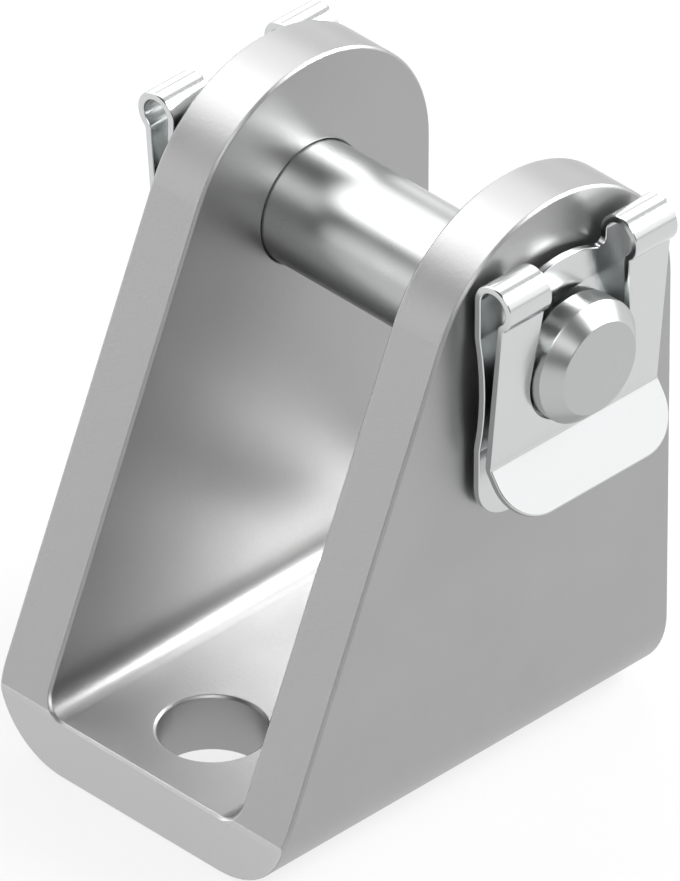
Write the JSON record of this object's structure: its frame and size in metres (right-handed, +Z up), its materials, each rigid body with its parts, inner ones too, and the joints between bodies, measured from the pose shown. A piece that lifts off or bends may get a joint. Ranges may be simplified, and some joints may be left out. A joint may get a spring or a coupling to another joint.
{
  "type": "cylinder bearing block",
  "caption": "Clevis foot bent from thick steel plate for a pneumatic cylinder, with a plain pin through its ears that a folded spring clip holds at each end.",
  "frame": {"origin": "on the mounting face, midway between the ears and straight below the pin's axis", "axes": "+X along the pin's axis, +Z up from the mounting face to the pin; the sloping front edges of the ears face -Y"},
  "size_m": [0.0322, 0.032, 0.04],
  "materials": {
    "bracket_steel": "zinc-plated, satin",
    "pin_steel": "turned and polished",
    "spring_steel": "bright rolled strip"
  },
  "bodies": {
    "bracket": {"bracket": "bracket_steel"},
    "pin": {"pivot_pin": "pin_steel"},
    "clip_right": {"retaining_clip_right": "spring_steel"},
    "clip_left": {"retaining_clip_left": "spring_steel"}
  },
  "joints": [
    {"name": "pin_turn", "type": "hinge", "parent": "bracket", "child": "pin", "pos_m": [0, 0, 0.03], "axis": [1, 0, 0], "continuous": true},
    {"name": "clip_right_turn", "type": "hinge", "parent": "pin", "child": "clip_right", "pos_m": [0, 0, 0.03], "axis": [1, 0, 0], "continuous": true},
    {"name": "clip_left_turn", "type": "hinge", "parent": "pin", "child": "clip_left", "pos_m": [0, 0, 0.03], "axis": [1, 0, 0], "continuous": true}
  ]
}
